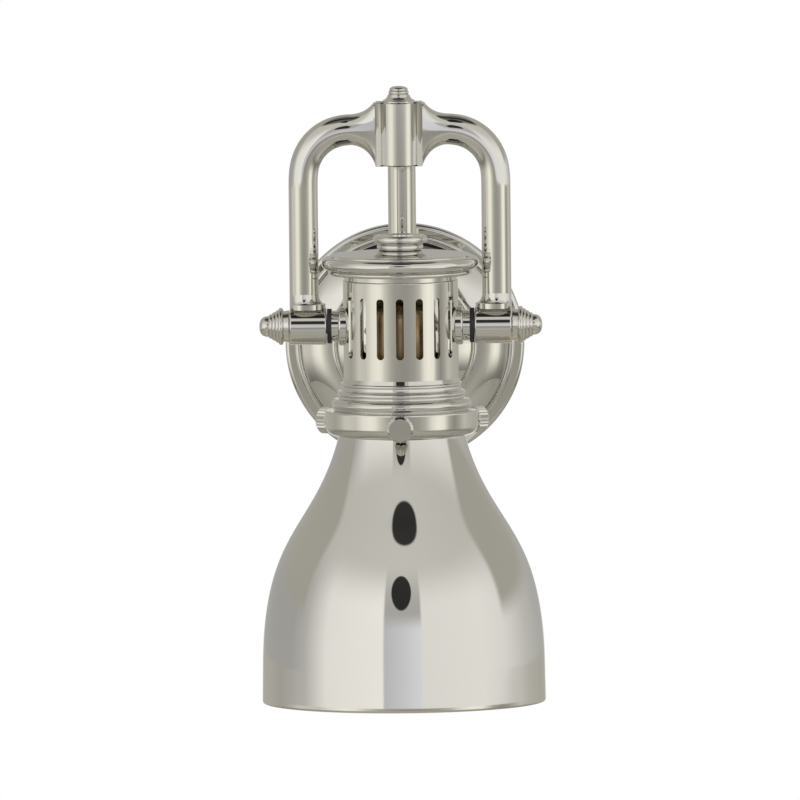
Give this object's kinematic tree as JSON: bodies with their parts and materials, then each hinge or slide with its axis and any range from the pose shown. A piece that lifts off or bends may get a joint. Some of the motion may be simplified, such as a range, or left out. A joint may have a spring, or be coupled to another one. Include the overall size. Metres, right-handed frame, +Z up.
{
  "type": "wall sconce",
  "caption": "Polished wall sconce: round plate, cranked arm, yoke, vented head that tilts between knobs, bell shade held by thumbscrews.",
  "frame": {"origin": "centre of the wall plate and of the mounting strap's slots, on the wall", "axes": "+Y into the wall, +Z up, +X to the right as seen from the room"},
  "size_m": [0.1506, 0.2033, 0.3271],
  "materials": {
    "nickel": "polished nickel plate",
    "steel": "zinc plated",
    "brass": "aged brass",
    "washer": "matt black fibre",
    "ceramic": "glazed white",
    "glass": "pearl glass"
  },
  "bodies": {
    "wall_side": {"mounting_strap": "steel", "grub_screws": "steel", "wall_plate": "nickel", "arm_collar": "nickel", "lock_nut": "brass", "wall_arm": "nickel", "yoke_hub": "nickel", "yoke_arm_left": "nickel", "yoke_arm_right": "nickel", "top_finial": "nickel"},
    "head": {"housing": "nickel", "cap": "nickel", "cap_button": "nickel", "gallery": "nickel", "shade": "nickel", "pivot_boss_left": "nickel", "pivot_boss_right": "nickel", "pivot_stud_left": "steel", "pivot_stud_right": "steel", "stud_nut_left": "steel", "stud_nut_right": "steel", "washer_left": "washer", "washer_right": "washer", "carrier_plate": "steel", "nipple": "brass", "nipple_nut": "brass", "holder_cap": "brass", "holder_shell": "brass", "holder_core": "ceramic", "screw_shell": "brass", "centre_contact": "brass", "bulb_base": "steel", "bulb_foot": "brass", "bulb_glass": "glass"},
    "left_knob": {"knob_left": "nickel"},
    "right_knob": {"knob_right": "nickel"},
    "front_screw": {"thumbscrew_front": "nickel"},
    "left_screw": {"thumbscrew_left": "nickel"},
    "right_screw": {"thumbscrew_right": "nickel"}
  },
  "joints": [
    {"name": "head_tilt", "type": "hinge", "parent": "wall_side", "child": "head", "pos_m": [0, -0.128, 0.0186], "axis": [-1, 0, 0], "range_deg": [-12, 45]},
    {"name": "left_knob_turn", "type": "hinge", "parent": "head", "child": "left_knob", "pos_m": [0, -0.128, 0.0186], "axis": [-1, 0, 0], "continuous": true},
    {"name": "right_knob_turn", "type": "hinge", "parent": "head", "child": "right_knob", "pos_m": [0, -0.128, 0.0186], "axis": [1, 0, 0], "continuous": true},
    {"name": "front_screw_travel", "type": "slide", "parent": "head", "child": "front_screw", "axis": [0, -1, 0], "range_m": [0, 0.005]},
    {"name": "left_screw_travel", "type": "slide", "parent": "head", "child": "left_screw", "axis": [-0.866, 0.5, 0], "range_m": [0, 0.005]},
    {"name": "right_screw_travel", "type": "slide", "parent": "head", "child": "right_screw", "axis": [0.866, 0.5, 0], "range_m": [0, 0.005]}
  ]
}
